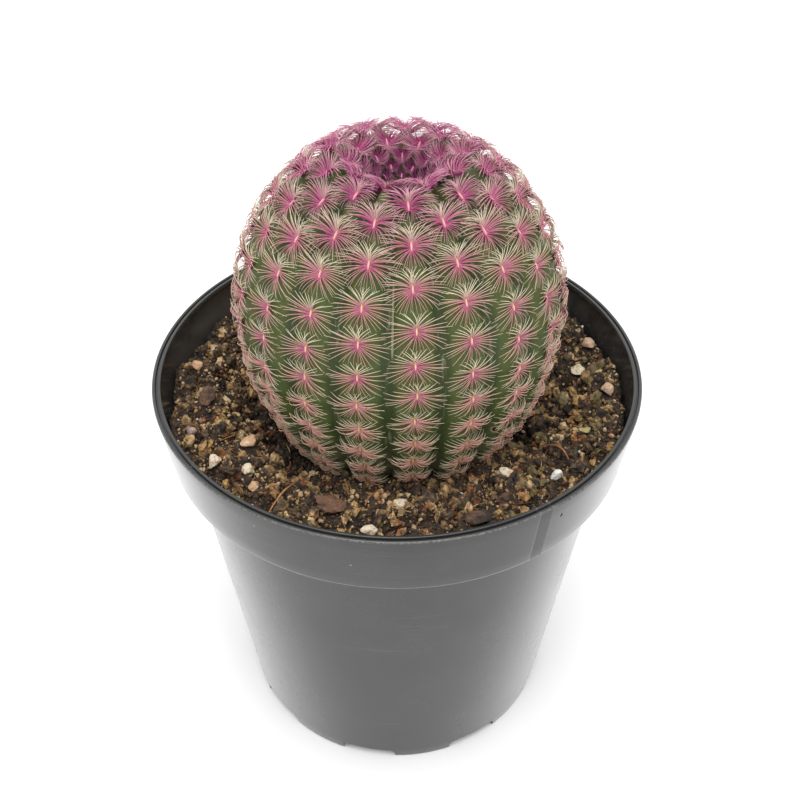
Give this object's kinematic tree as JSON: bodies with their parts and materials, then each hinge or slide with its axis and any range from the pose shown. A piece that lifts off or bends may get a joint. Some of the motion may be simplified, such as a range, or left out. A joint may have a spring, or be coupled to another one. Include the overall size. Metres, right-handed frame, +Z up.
{
  "type": "potted round cactus",
  "caption": "Round ribbed cactus with a pink comb of spines along each rib and a sunken crown, growing in gritty soil in a round black plastic nursery pot.",
  "frame": {"origin": "on the pot's axis, in the plane of its feet", "axes": "+Z up along the pot's axis; -Y is the front, +X is to the right seen from the front"},
  "size_m": [0.105, 0.105, 0.145],
  "materials": {
    "black_plastic": "satin moulded polypropylene",
    "peat_soil": "moist crumbly peat mix",
    "green_skin": "waxy living skin",
    "pink_spines": "fine dry spines, magenta at the foot and cream at the tip",
    "pumice_grit": "rough porous grains",
    "bark": "rough broken bark",
    "root": "dry fibre"
  },
  "bodies": {
    "root": {"nursery_pot": "black_plastic", "potting_soil": "peat_soil", "cactus_stem": "green_skin", "crown_spines": "pink_spines", "spine_row_01": "pink_spines", "spine_row_02": "pink_spines", "spine_row_03": "pink_spines", "spine_row_04": "pink_spines", "spine_row_05": "pink_spines", "spine_row_06": "pink_spines", "spine_row_07": "pink_spines", "spine_row_08": "pink_spines", "spine_row_09": "pink_spines", "spine_row_10": "pink_spines", "spine_row_11": "pink_spines", "spine_row_12": "pink_spines", "spine_row_13": "pink_spines", "spine_row_14": "pink_spines", "spine_row_15": "pink_spines", "spine_row_16": "pink_spines", "spine_row_17": "pink_spines", "spine_row_18": "pink_spines", "spine_row_19": "pink_spines", "grit_stone_01": "pumice_grit", "grit_stone_02": "pumice_grit", "grit_stone_03": "pumice_grit", "grit_stone_04": "pumice_grit", "grit_stone_05": "pumice_grit", "grit_stone_06": "pumice_grit", "grit_stone_07": "pumice_grit", "grit_stone_08": "pumice_grit", "grit_stone_09": "pumice_grit", "grit_stone_10": "pumice_grit", "grit_stone_11": "pumice_grit", "grit_stone_12": "pumice_grit", "grit_stone_13": "pumice_grit", "grit_stone_14": "pumice_grit", "grit_stone_15": "pumice_grit", "grit_stone_16": "pumice_grit", "bark_chip_01": "bark", "bark_chip_02": "bark", "bark_chip_03": "bark", "bark_chip_04": "bark", "bark_chip_05": "bark", "root_fibre_01": "root", "root_fibre_02": "root", "root_fibre_03": "root"}
  },
  "joints": []
}
